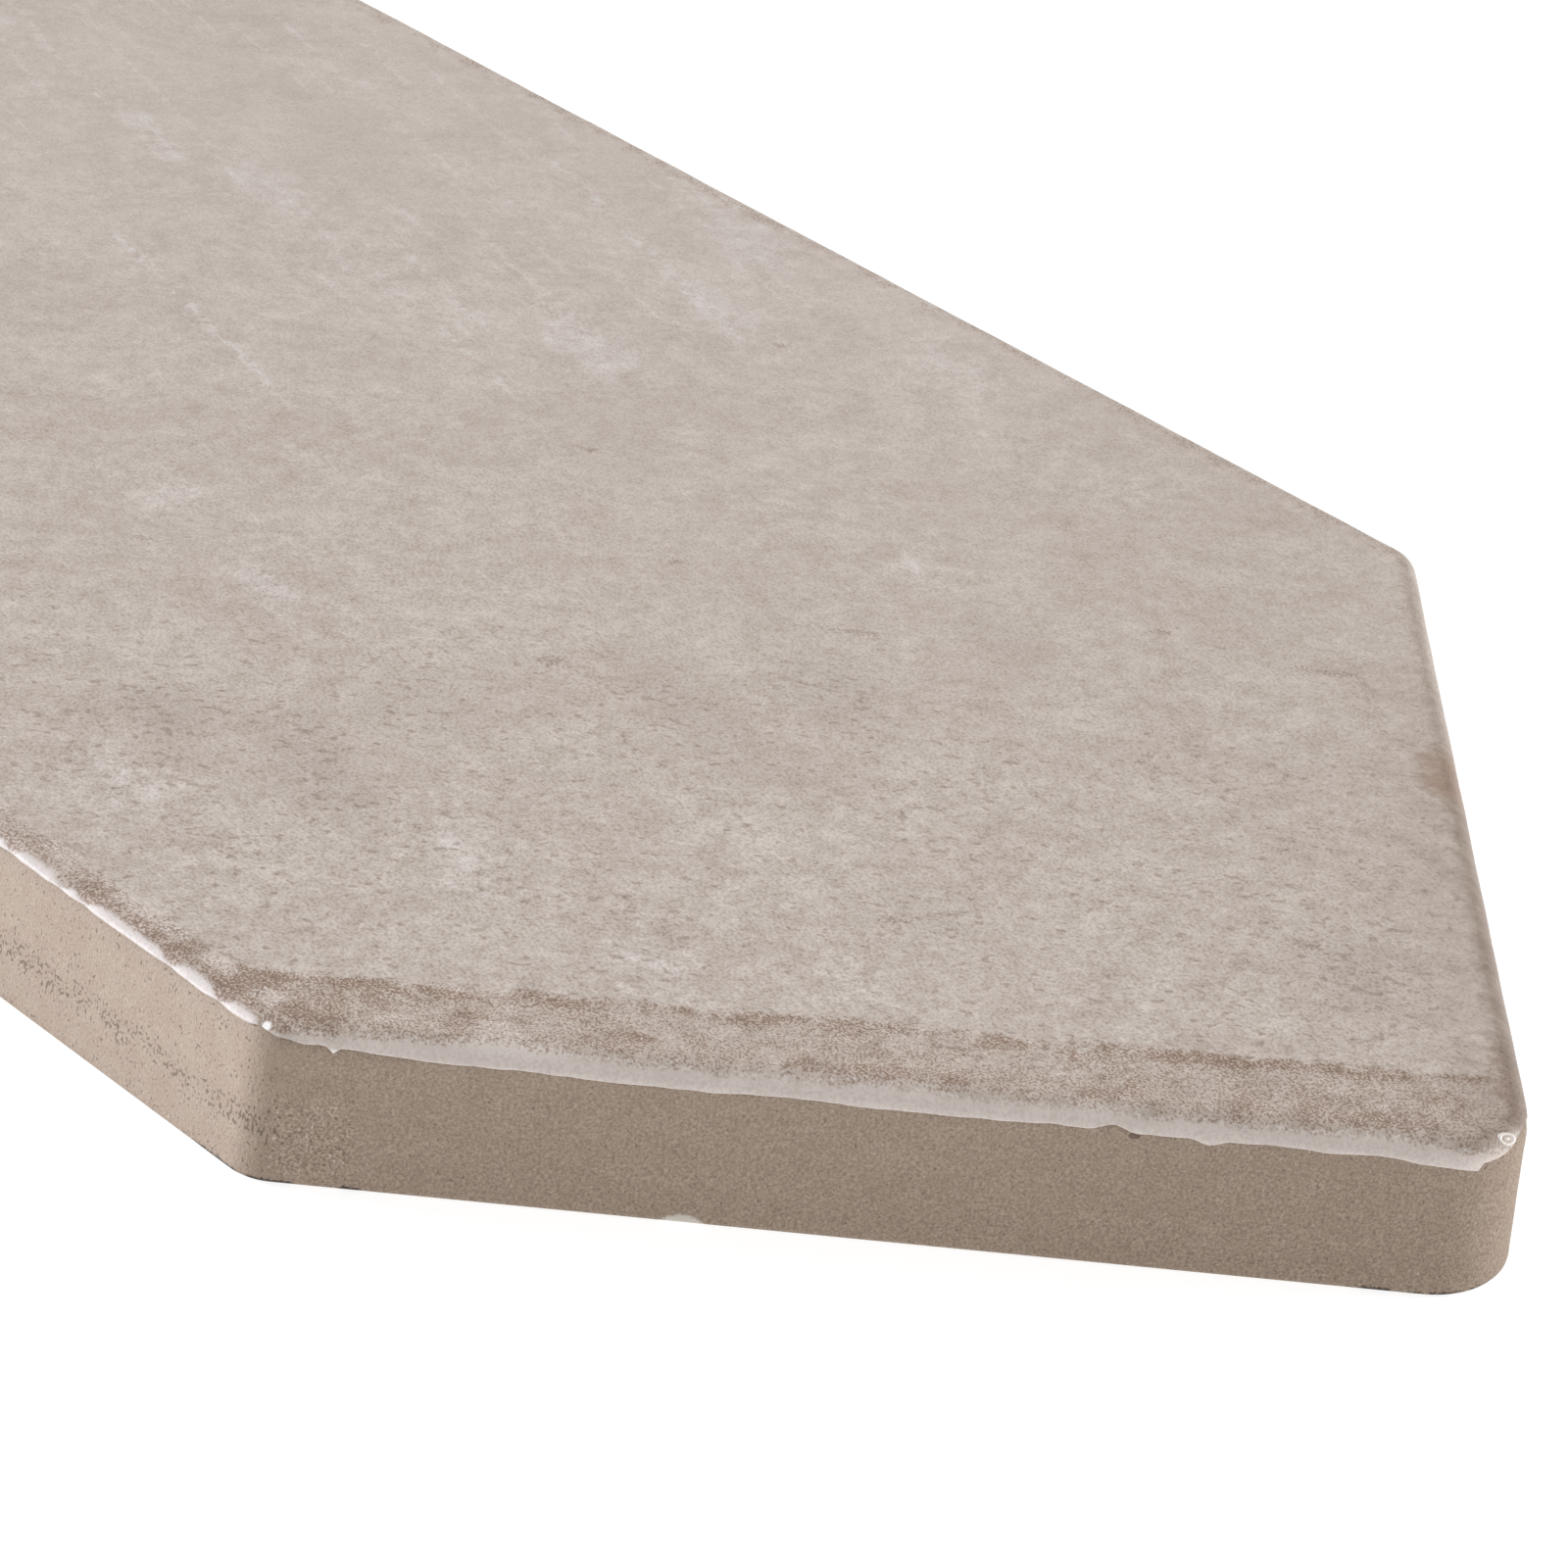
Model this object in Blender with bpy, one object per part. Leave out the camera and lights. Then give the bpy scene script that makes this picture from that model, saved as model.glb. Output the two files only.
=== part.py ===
"""Picket tile: one pressed, glazed and fired ceramic tile.

It is an elongated hexagon with a square point at each end. X runs from point to point, Y across
the tile and Z up, and the origin is the middle of the bed, the unglazed back that the adhesive
grips. The tile lies on its bed with the glazed face up. All sizes are in metres.
"""

import math

import bmesh
import bpy
from mathutils import Vector

TILE_LENGTH = 0.300  # from point to point
TILE_WIDTH = 0.075  # across the two long sides, at their widest
TILE_THICKNESS = 0.0075
POINT_ANGLE = math.radians(90)
TIP_RADIUS = 0.0041  # of the two points, seen from above
SHOULDER_RADIUS = 0.0026  # of the four corners where the points meet the long sides
SHARPEST_CORNER = 0.0005  # least radius that an inset outline keeps

SIDE_DRAFT = math.radians(3.5)  # the sides lean in towards the face, so the tile leaves its die
FACE_ARRIS_RADIUS = 0.0012  # where the glaze rolls over the edge of the face
BED_ARRIS_RADIUS = 0.0004

POCKET_PITCH = 0.011  # of the pressed waffle on the bed
POCKET_RIB = 0.0025  # between one pocket and the next
POCKET_DEPTH = 0.0005
POCKET_FLOOR_SHARE = 0.92  # size of a pocket's floor against its mouth
BED_MARGIN = 0.0055  # plain band of the bed round the pockets
LEAST_POCKET_SHARE = 0.3  # a pocket that the margin cuts smaller than this is left out
CUTTER_REACH = 0.001  # how far a cutter stands out below the bed

SHARP_EDGE = math.radians(35)  # edges that turn more than this stay crisp in the shading
CORNER_STEP = math.radians(7.5)  # turn from one point of a rounded corner to the next
ARRIS_STEP = math.radians(18)

GLAZE_COLOUR = (0.50, 0.45, 0.40, 1.0)
BODY_COLOUR = (0.42, 0.33, 0.26, 1.0)


def clear_scene():
    for old in list(bpy.data.objects):
        bpy.data.objects.remove(old, do_unlink=True)


def ceramic(name, colour, roughness):
    material = bpy.data.materials.new(name)
    material.use_nodes = True
    shader = material.node_tree.nodes["Principled BSDF"]
    shader.inputs["Base Color"].default_value = colour
    shader.inputs["Roughness"].default_value = roughness
    shader.inputs["Metallic"].default_value = 0.0
    return material


def sharp_corners():
    """The six corners before they are rounded, anticlockwise from the point at +X."""
    half_angle = POINT_ANGLE / 2
    rounding = TIP_RADIUS * (1 / math.sin(half_angle) - 1)
    tip = TILE_LENGTH / 2 + rounding
    shoulder = tip - TILE_WIDTH / 2 / math.tan(half_angle)
    side = TILE_WIDTH / 2
    return [
        Vector((tip, 0)),
        Vector((shoulder, side)),
        Vector((-shoulder, side)),
        Vector((-tip, 0)),
        Vector((-shoulder, -side)),
        Vector((shoulder, -side)),
    ]


def corner_radii():
    """The radius of each of the six corners, in the same order."""
    return [TIP_RADIUS, SHOULDER_RADIUS, SHOULDER_RADIUS] * 2


def corner_arc(before, corner, after, full_radius, inset):
    """Points round one corner of the outline, after all its sides have moved in by inset."""
    radius = max(full_radius - inset, SHARPEST_CORNER)
    arriving = (corner - before).normalized()
    leaving = (after - corner).normalized()
    turn = -arriving.angle_signed(leaving)
    inward = (leaving - arriving).normalized()
    centre = corner + inward * (inset + radius) / math.cos(turn / 2)
    start = math.atan2(arriving.y, arriving.x) - math.pi / 2
    steps = max(2, round(turn / CORNER_STEP))
    return [
        centre + Vector((math.cos(angle), math.sin(angle))) * radius
        for angle in (start + turn * step / steps for step in range(steps + 1))
    ]


def outline(inset):
    """The rounded hexagon, anticlockwise, with every side moved in by inset."""
    corners = sharp_corners()
    points = []
    for index, (corner, radius) in enumerate(zip(corners, corner_radii())):
        after = corners[(index + 1) % len(corners)]
        points.extend(corner_arc(corners[index - 1], corner, after, radius, inset))
    return points


def arc_section(centre_inset, centre_height, radius, first, last):
    """An arris in section, as pairs of inset and height, from one angle up to another."""
    steps = max(2, round((last - first) / ARRIS_STEP))
    angles = [first + (last - first) * step / steps for step in range(steps + 1)]
    return [
        (centre_inset - radius * math.cos(angle), centre_height + radius * math.sin(angle))
        for angle in angles
    ]


def edge_section():
    """The edge of the tile in section, from the bed up to the face: arris, drafted side, arris."""
    bed_arris = arc_section(
        BED_ARRIS_RADIUS, BED_ARRIS_RADIUS, BED_ARRIS_RADIUS, -math.pi / 2, SIDE_DRAFT
    )
    side_inset, side_foot = bed_arris[-1]
    face_centre_height = TILE_THICKNESS - FACE_ARRIS_RADIUS
    side_head = face_centre_height + FACE_ARRIS_RADIUS * math.sin(SIDE_DRAFT)
    lean = (side_head - side_foot) * math.tan(SIDE_DRAFT)
    face_centre_inset = side_inset + lean + FACE_ARRIS_RADIUS * math.cos(SIDE_DRAFT)
    face_arris = arc_section(
        face_centre_inset, face_centre_height, FACE_ARRIS_RADIUS, SIDE_DRAFT, math.pi / 2
    )
    return bed_arris, face_arris


def add_ring(shape, inset, height):
    return [shape.verts.new((point.x, point.y, height)) for point in outline(inset)]


def tile_blank(glaze, body):
    """The pressed blank: rings of the outline stacked up the section, closed by bed and face."""
    bed_arris, face_arris = edge_section()
    section = bed_arris + face_arris
    first_glazed = len(bed_arris)
    shape = bmesh.new()
    rings = [add_ring(shape, inset, height) for inset, height in section]
    for level, (lower, upper) in enumerate(zip(rings, rings[1:])):
        for index in range(len(lower)):
            beside = (index + 1) % len(lower)
            face = shape.faces.new((lower[index], lower[beside], upper[beside], upper[index]))
            face.material_index = int(level >= first_glazed)
    shape.faces.new(reversed(rings[0])).material_index = 0
    shape.faces.new(rings[-1]).material_index = 1
    mesh = bpy.data.meshes.new("picket_tile")
    shape.to_mesh(mesh)
    shape.free()
    mesh.materials.append(body)
    mesh.materials.append(glaze)
    tile = bpy.data.objects.new("picket_tile", mesh)
    bpy.context.collection.objects.link(tile)
    return tile


def margin_sides():
    """Each side of the plain band's inner edge, as a point on it and its inward normal."""
    corners = sharp_corners()
    sides = []
    for index, corner in enumerate(corners):
        along = (corners[(index + 1) % len(corners)] - corner).normalized()
        inward = Vector((-along.y, along.x))
        sides.append((corner + inward * BED_MARGIN, inward))
    return sides


def clipped(points, foot, inward):
    """The part of a convex polygon that lies on the inward side of a line."""
    kept = []
    for index, point in enumerate(points):
        after = points[(index + 1) % len(points)]
        height, next_height = (point - foot).dot(inward), (after - foot).dot(inward)
        if height >= 0:
            kept.append(point)
        if height * next_height < 0:
            kept.append(point.lerp(after, height / (height - next_height)))
    return kept


def polygon_area(points):
    shifted = points[1:] + points[:1]
    return sum(a.x * b.y - b.x * a.y for a, b in zip(points, shifted)) / 2


def pocket_mouths():
    """Square pockets in rows and columns about the middle, cut off where the margin starts."""
    half = (POCKET_PITCH - POCKET_RIB) / 2
    columns = math.ceil(TILE_LENGTH / 2 / POCKET_PITCH)
    rows = math.ceil(TILE_WIDTH / 2 / POCKET_PITCH)
    sides = margin_sides()
    mouths = []
    for column in range(-columns, columns):
        for row in range(-rows, rows):
            middle = Vector((column + 0.5, row + 0.5)) * POCKET_PITCH
            mouth = [middle + Vector((x, y)) * half for x, y in ((-1, -1), (1, -1), (1, 1), (-1, 1))]
            whole = polygon_area(mouth)
            for foot, inward in sides:
                mouth = clipped(mouth, foot, inward)
            if len(mouth) > 2 and polygon_area(mouth) > LEAST_POCKET_SHARE * whole:
                mouths.append(mouth)
    return mouths


def pocket_cutter():
    """One tapered plug for each pocket, all in one mesh that stands out below the bed."""
    shape = bmesh.new()
    slope = (1 - POCKET_FLOOR_SHARE) / POCKET_DEPTH
    for mouth in pocket_mouths():
        centre = sum(mouth, Vector((0, 0))) / len(mouth)
        rings = []
        for height in (-CUTTER_REACH, POCKET_DEPTH):
            share = 1 - slope * height
            ring = [centre.lerp(point, share) for point in mouth]
            rings.append([shape.verts.new((point.x, point.y, height)) for point in ring])
        shape.faces.new(reversed(rings[0]))
        shape.faces.new(rings[1])
        for index in range(len(mouth)):
            beside = (index + 1) % len(mouth)
            shape.faces.new(
                (rings[0][index], rings[0][beside], rings[1][beside], rings[1][index])
            )
    mesh = bpy.data.meshes.new("pocket_cutter")
    shape.to_mesh(mesh)
    shape.free()
    cutter = bpy.data.objects.new("pocket_cutter", mesh)
    bpy.context.collection.objects.link(cutter)
    cutter.hide_render = True
    cutter.display_type = "WIRE"
    return cutter


def press_pockets(tile):
    """The waffle that the lower punch leaves in the bed, which keys the adhesive."""
    pockets = tile.modifiers.new("pockets", "BOOLEAN")
    pockets.operation = "DIFFERENCE"
    pockets.object = pocket_cutter()


def main():
    clear_scene()
    glaze = ceramic("satin_glaze", GLAZE_COLOUR, 0.45)
    body = ceramic("fired_clay", BODY_COLOUR, 0.85)
    tile = tile_blank(glaze, body)
    tile.data.shade_smooth()
    tile.data.set_sharp_from_angle(angle=SHARP_EDGE)
    press_pockets(tile)


main()
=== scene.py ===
# %% [markdown]
# # A glazed picket tile
# The object is one ceramic tile: a long hexagon with a square point at each end, pressed from
# beige clay, glazed on its face and fired. The satin, warm grey glaze is printed like old stone.
# It rolls over the edge of the face and stops part of the way down the sides.
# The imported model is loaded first. It is the fixed frame that every piece below is built in.

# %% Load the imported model
import math
import bmesh
import bpy
from mathutils import Matrix, Vector, noise
from mathutils.geometry import delaunay_2d_cdt


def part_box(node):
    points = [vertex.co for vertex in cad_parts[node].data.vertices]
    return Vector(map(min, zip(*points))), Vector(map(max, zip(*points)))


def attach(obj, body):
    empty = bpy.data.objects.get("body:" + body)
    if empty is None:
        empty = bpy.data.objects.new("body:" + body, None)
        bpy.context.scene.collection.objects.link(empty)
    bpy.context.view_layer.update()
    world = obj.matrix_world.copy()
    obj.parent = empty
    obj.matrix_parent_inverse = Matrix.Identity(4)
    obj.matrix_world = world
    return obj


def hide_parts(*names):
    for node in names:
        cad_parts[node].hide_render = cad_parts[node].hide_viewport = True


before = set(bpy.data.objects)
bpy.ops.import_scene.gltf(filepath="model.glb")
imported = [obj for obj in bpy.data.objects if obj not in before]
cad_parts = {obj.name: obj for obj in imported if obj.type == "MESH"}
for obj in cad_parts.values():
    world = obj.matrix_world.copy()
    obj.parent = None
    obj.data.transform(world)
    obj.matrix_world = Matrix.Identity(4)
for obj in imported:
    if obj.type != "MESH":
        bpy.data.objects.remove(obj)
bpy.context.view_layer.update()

# %% [markdown]
# The tile's own sizes come from the node in the frame, so the visible tile can't drift away from
# it. The roundings aren't in the box, so they are named here with the values that the part has.

# %% Sizes of the tile
low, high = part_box("picket_tile")
tile_length = high.x - low.x
tile_width = high.y - low.y
tile_height = high.z - low.z
mm = 0.001
tip_radius = 4.1 * mm
shoulder_radius = 2.6 * mm
side_draft = math.radians(3.5)
face_arris = 1.2 * mm
bed_arris = 0.4 * mm
tip_x = tile_length / 2 + tip_radius * (math.sqrt(2) - 1)
shoulder_x = tip_x - tile_width / 2
print(f"tile {tile_length / mm:.1f} x {tile_width / mm:.1f} x {tile_height / mm:.1f} mm")

# %% [markdown]
# The camera stands close to the point of the tile with a long lens, looks down at about thirty
# degrees and leans a little, as the photo's does. It could be placed by eye, but the outline of
# the tile gives its place: four corners and the edges between them leave little choice.

# %% Camera
camera_place = Vector((0.24444, -0.15501, 0.12454))
camera_aim = Vector((0.11239, -0.00556, 0.0075))
camera_lean = math.radians(7.63)
camera_lens = 119.32
sensor_width = 36.0
camera_data = bpy.data.cameras.new("camera")
camera_data.lens = camera_lens
camera_data.sensor_width = sensor_width
camera_data.clip_start = 0.01
camera = bpy.data.objects.new("camera", camera_data)
level_turn = (camera_aim - camera_place).to_track_quat("-Z", "Y").to_matrix().to_4x4()
turn_with_lean = level_turn @ Matrix.Rotation(camera_lean, 4, "Z")
camera.matrix_world = Matrix.Translation(camera_place) @ turn_with_lean
bpy.context.scene.collection.objects.link(camera)
bpy.context.scene.camera = camera
print("camera to its aim:", round((camera_aim - camera_place).length, 4), "m")

# %% [markdown]
# The light is a plain soft studio one. A big soft light low at the left reaches the long side and
# draws the bright line along the rolled glaze, and a softer one behind at the right reaches the
# far sides. The side that looks at the camera gets neither, so it stays in the soft shade of the
# pale surroundings. Area lamps would do, but wide sun lamps light a whole floor evenly.

# %% Lights and surroundings
def soft_light(name, towards, strength, spread, colour):
    """A wide, even light that shines from the direction given."""
    data = bpy.data.lights.new(name, "SUN")
    data.energy = strength
    data.angle = math.radians(spread)
    data.color = colour
    lamp = bpy.data.objects.new(name, data)
    lamp.rotation_mode = "QUATERNION"
    lamp.rotation_quaternion = Vector(towards).to_track_quat("Z", "Y")
    bpy.context.scene.collection.objects.link(lamp)


soft_light("left_softbox", (-0.807, -0.510, 0.296), 4.1, 10, (0.94, 1.0, 1.11))
soft_light("back_softbox", (0.54, 0.85, 0.35), 2.05, 20, (1.0, 1.0, 1.0))
surroundings = bpy.data.worlds.new("surroundings")
surroundings.use_nodes = True
background = surroundings.node_tree.nodes["Background"]
background.inputs["Color"].default_value = (1.0, 0.98, 0.96, 1.0)
background.inputs["Strength"].default_value = 0.5
bpy.context.scene.world = surroundings
bpy.context.scene.view_settings.view_transform = "Standard"
print("lights:", [item.name for item in bpy.data.lights])

# %% [markdown]
# Shader maths is easier to read as an expression than as a drawing of nodes. Wire wraps the
# output of a node, and each operator on it adds the Math node that does the sum. Recipe is one
# material's node tree, and its node method adds any node: settings first, then what feeds it.
# All lengths in a material are in mm, only the depth of a bump is in metres.

# %% A small language for materials
class Wire:
    """The output of a shader node, which Python can calculate with."""

    def __init__(self, recipe, socket):
        self.recipe = recipe
        self.socket = socket

    def maths(self, operation, *others):
        return self.recipe.maths(operation, self, *others)

    def __add__(self, other):
        return self.maths("ADD", other)

    def __sub__(self, other):
        return self.maths("SUBTRACT", other)

    def __rsub__(self, other):
        return self.recipe.maths("SUBTRACT", other, self)

    def __mul__(self, other):
        return self.maths("MULTIPLY", other)

    def __truediv__(self, other):
        return self.maths("DIVIDE", other)

    def __abs__(self):
        return self.maths("ABSOLUTE")

    def cap(self, most):
        return self.maths("MINIMUM", most)

    def floor_at(self, least):
        return self.maths("MAXIMUM", least)

    __radd__ = __add__
    __rmul__ = __mul__


class Recipe:
    """A material that is written as expressions."""

    def __init__(self, name):
        self.material = bpy.data.materials.new(name)
        self.material.use_nodes = True
        self.tree = self.material.node_tree
        self.shader = self.tree.nodes["Principled BSDF"]

    def feed(self, socket, value):
        if isinstance(value, Wire):
            self.tree.links.new(value.socket, socket)
        else:
            socket.default_value = value

    def finish(self, inputs):
        """Feeds the shader itself and gives back the finished material."""
        for name, value in inputs.items():
            self.feed(self.shader.inputs[name], value)
        return self.material

    def node(self, kind, settings, inputs, output=0):
        """Adds any node. Settings are set first, then the values or links of its sockets."""
        made = self.tree.nodes.new(kind)
        for name, value in settings.items():
            setattr(made, name, value)
        for name, value in inputs.items():
            self.feed(made.inputs[name], value)
        return Wire(self, made.outputs[output])

    def maths(self, operation, *values):
        return self.node("ShaderNodeMath", {"operation": operation}, dict(enumerate(values)))

    def vector(self, operation, *values, output=0):
        settings = {"operation": operation}
        return self.node("ShaderNodeVectorMath", settings, dict(enumerate(values)), output)

    def place(self):
        """Where the point lies in the tile's own frame, in mm."""
        metres = self.node("ShaderNodeTexCoord", {}, {}, "Object")
        return self.vector("MULTIPLY", metres, (1 / mm, 1 / mm, 1 / mm))

    def parts(self, vector):
        """The three numbers of a vector."""
        return [self.node("ShaderNodeSeparateXYZ", {}, {0: vector}, axis) for axis in "XYZ"]

    def cloud(self, where, size, detail=2.0, roughness=0.5):
        """Soft noise from 0 to 1 whose blobs are about size across."""
        inputs = {"Vector": where, "Scale": 1 / size, "Detail": detail, "Roughness": roughness}
        return self.node("ShaderNodeTexNoise", {}, inputs, "Fac")

    def ramp(self, value, start, end):
        """0 before start, 1 past end and smooth between them. End may be the smaller."""
        inputs = {"Value": value, "From Min": start, "From Max": end}
        settings = {"interpolation_type": "SMOOTHSTEP"}
        return self.node("ShaderNodeMapRange", settings, inputs, "Result")

    def tint(self, mask, under, over):
        """The colour under, turned to the colour over where the mask is 1."""
        inputs = {0: mask, 6: under, 7: over}
        return self.node("ShaderNodeMix", {"data_type": "RGBA"}, inputs, 2)

    def shaded(self, colour, change, hue=(1.0, 1.0, 1.0)):
        """The colour made lighter or darker by a share that can differ from red to blue."""
        factor = self.vector("MULTIPLY_ADD", change, hue, (1.0, 1.0, 1.0))
        return self.vector("MULTIPLY", colour, factor)

    def painted(self, name):
        """A number that the mesh keeps at each of its points."""
        return self.node("ShaderNodeAttribute", {"attribute_name": name}, {}, "Fac")

    def turned(self, vector, angle):
        """The same place turned about the tile's height."""
        inputs = {"Vector": vector, "Rotation": (0, 0, angle)}
        return self.node("ShaderNodeMapping", {"vector_type": "POINT"}, inputs)

    def bump(self, height, depth):
        """Small relief in the normal. Depth is the size of a height of 1, in metres."""
        return self.node("ShaderNodeBump", {}, {"Distance": depth, "Height": height}, "Normal")


def paint(red, green, blue):
    """A colour given in the usual steps from 0 to 255, as the shader's own light values."""
    steps = [level / 255 for level in (red, green, blue)]
    light = [((s + 0.055) / 1.055) ** 2.4 if s > 0.04045 else s / 12.92 for s in steps]
    return (*light, 1.0)


print("white as light:", paint(255, 255, 255))

# %% [markdown]
# Everything on the tile's edge follows its outline, a hexagon with rounded corners, so that is
# worked out once as a list of stations close together. A station has a foot on the widest outline
# and a direction outward, and any ring of the edge is then the foot moved inward, because the
# rounded corners keep their centres. Its run is the way round, in mm, from the near left corner,
# which the photo shows in front, so that one number places a drop.

# %% Stations round the outline
station_step = 0.3 * mm
corner_step = math.radians(3.5)
corners = [
    Vector((shoulder_x, -tile_width / 2)),
    Vector((tip_x, 0)),
    Vector((shoulder_x, tile_width / 2)),
    Vector((-shoulder_x, tile_width / 2)),
    Vector((-tip_x, 0)),
    Vector((-shoulder_x, -tile_width / 2)),
]
corner_radii = [shoulder_radius, tip_radius, shoulder_radius] * 2


class Station:
    """One place on the outline: its foot, its way outward, its side and how far round it is."""

    def __init__(self, foot, outward, side, turned):
        self.foot = foot
        self.outward = outward
        self.side = side
        self.turned = turned
        self.run = 0.0

    def at(self, inset, height):
        spot = self.foot - self.outward * inset
        return Vector((spot.x, spot.y, height))


def outline_stations():
    """All stations, anticlockwise from the middle of the near left corner."""
    made = []
    for index, (corner, radius) in enumerate(zip(corners, corner_radii)):
        before, after = corners[index - 1], corners[(index + 1) % len(corners)]
        arriving, leaving = (corner - before).normalized(), (after - corner).normalized()
        turn = -arriving.angle_signed(leaving)
        inward = (leaving - arriving).normalized()
        centre = corner + inward * radius / math.cos(turn / 2)
        first = math.atan2(arriving.y, arriving.x) - math.pi / 2
        steps = 2 * round(turn / corner_step / 2)
        for step in range(steps + 1):
            angle = first + turn * step / steps
            outward = Vector((math.cos(angle), math.sin(angle)))
            made.append(Station(centre + outward * radius, outward, index, step / steps))
        next_radius = corner_radii[(index + 1) % len(corners)]
        next_turn = math.pi / 2 if next_radius == tip_radius else math.pi / 4
        straight = (after - corner).length
        straight -= radius * math.tan(turn / 2) + next_radius * math.tan(next_turn / 2)
        pieces = round(straight / station_step)
        start, outward = made[-1].foot, made[-1].outward
        for step in range(1, pieces):
            foot = start + leaving * straight * step / pieces
            made.append(Station(foot, outward, index, 1.0))
    middle = next(i for i, station in enumerate(made) if station.turned >= 0.5)
    made = made[middle:] + made[:middle]
    for before, station in zip(made, made[1:]):
        station.run = before.run + (station.foot - before.foot).length / mm
    return made


stations = outline_stations()
way_round = stations[-1].run + (stations[0].foot - stations[-1].foot).length / mm
for station in stations:
    if station.run > way_round / 2:
        station.run -= way_round
print(len(stations), "stations,", round(way_round, 1), "mm round")

# %% [markdown]
# A poured glaze never stops in a straight line. Its hem wanders by a tenth of a millimetre and is
# higher on one side than on another. Soft noise gives the wandering, and the drops that the photo
# shows are listed one by one. Along the long sides the glaze gathers into a bead, pinched where
# two runs of it meet. The print stops a little above the hem, at an edge of its own.

# %% The hem of the glaze
# Every length in the lists of this cell is in mm.
side_hems = [6.57, 6.50, 6.75, 6.55, 6.80, 7.03]
side_unrest = [1.0, 0.8, 0.7, 1.0, 0.8, 0.3]
side_builds = [0.08, 0.12, 0.13, 0.12, 0.12, 0.15]
side_print_edges = [7.17, 6.62, 7.20, 7.17, 7.20, 7.37]
hem_drops = [
    # (run of the middle, half width, how far it hangs below the hem or rises above it)
    (0.5, 1.8, -0.28),
    (2.6, 4.6, -0.22),
    (3.1, 0.28, 0.22),
    (27.0, 6.0, 0.10),
    (35.0, 1.1, -0.24),
    (35.9, 0.8, 0.06),
    (39.0, 0.9, 0.20),
    (44.0, 3.0, 0.06),
    (54.0, 3.4, -0.53),
]
hem_waves = [
    # (length of the wave, its height, its own seed)
    (9, 0.07, 1.5),
    (2.6, 0.05, 4.5),
    (0.8, 0.06, 8.5),
]
print_waves = [(3.0, 0.10, 31.5), (1.1, 0.08, 35.5)]
print_rises = [
    # (run of the middle, half width, how far the print's edge rises above its usual height)
    (52, 7, -0.22),
    (9.5, 3.5, 0.14),
    (54.0, 3.5, 0.22),
]
flap_start, flap_end, flap_drop = 46.6, 50.6, 0.36
pinches = [0.0, -3.0, -6.2, -11.9, -13.4]
pinch_reach, pinch_lift, pinch_print_drop, pinch_thinning = 0.9, 0.03, 0.25, 0.55
pinch_steps = [3.4, 1.6, 4.8, 2.7, 5.9, 2.1, 3.8]
unseen_pinches = 70
for number in range(unseen_pinches):
    pinches.append(pinches[-1] - pinch_steps[number % len(pinch_steps)])
highest_hem = 7.22


def wander(foot, size, seed):
    """Smooth noise from -1 to 1 that changes over about size, in mm."""
    return noise.noise(Vector((foot.x / (size * mm), foot.y / (size * mm), seed)))


def hill(distance, reach):
    """1 at distance 0, falling smoothly to 0 at reach."""
    share = max(0.0, 1 - abs(distance) / reach)
    return share * share * (3 - 2 * share)


def side_value(station, values):
    """A value given side by side, mixed smoothly round the corner that starts each side."""
    after = values[station.side]
    before = values[station.side - 1]
    return before + (after - before) * (1 - hill(min(station.turned, 1), 1))


def waves_at(station, waves):
    """All the waves of a list at a station, weaker on the calmer sides."""
    unrest = side_value(station, side_unrest)
    return sum(height * unrest * wander(station.foot, size, seed) for size, height, seed in waves)


def hills_at(station, hills):
    """All the hills of a list at a station."""
    return sum(rise * hill(station.run - middle, reach) for middle, reach, rise in hills)


def pinch_at(station):
    """1 where two runs of the glaze bead meet, 0 away from there."""
    if station.run > 1:
        return 0.0
    return max(hill(station.run - middle, pinch_reach) for middle in pinches)


def hem_height(station):
    """Height above the bed at which the glaze stops on the side."""
    level = side_value(station, side_hems) + waves_at(station, hem_waves)
    level -= hills_at(station, hem_drops)
    if flap_start < station.run < flap_end:
        level -= flap_drop * (station.run - flap_start) / (flap_end - flap_start)
    level += pinch_lift * pinch_at(station)
    return min(level, highest_hem) * mm


def glaze_build(station):
    """How far the glaze stands proud of the clay near its hem."""
    build = side_value(station, side_builds)
    build *= 1 + 0.25 * wander(station.foot, 3.2, 12.5)
    build *= 1 - 0.6 * hill(station.run, 1.0)
    return build * (1 - pinch_thinning * pinch_at(station)) * mm


def print_edge(station):
    """Height at which the print starts, above the bare lip of the glaze, in mm."""
    level = side_value(station, side_print_edges) + waves_at(station, print_waves)
    level += hills_at(station, print_rises)
    return level - pinch_print_drop * pinch_at(station)


for station in stations:
    station.hem = hem_height(station)
    station.build = glaze_build(station)
    station.print_edge = print_edge(station)
hems = [station.hem / mm for station in stations]
print(f"hem from {min(hems):.2f} to {max(hems):.2f} mm above the bed")

# %% [markdown]
# The glaze coat is a closed skin of its own, because a real one has a thickness that shows at its
# hem. It follows the rounded edge of the tile, stands a little proud of the clay, and ends below
# in a bead. It is built as rings of points, one for each level of the section.

# %% Section of the edge
side_head = tile_height - face_arris * (1 - math.sin(side_draft))
side_foot = bed_arris * (1 + math.sin(side_draft))
arris_level = tile_height - face_arris
arris_inset = (side_head - side_foot) * math.tan(side_draft) + face_arris * math.cos(side_draft)
glaze_depth = 0.3 * mm


def clay_inset(height):
    """How far the pressed side lies inside the widest outline at a height."""
    if height <= side_head:
        return max(0.0, height - side_foot) * math.tan(side_draft)
    rise = (height - arris_level) / face_arris
    return arris_inset - face_arris * math.sqrt(max(0.0, 1 - rise * rise))


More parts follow.
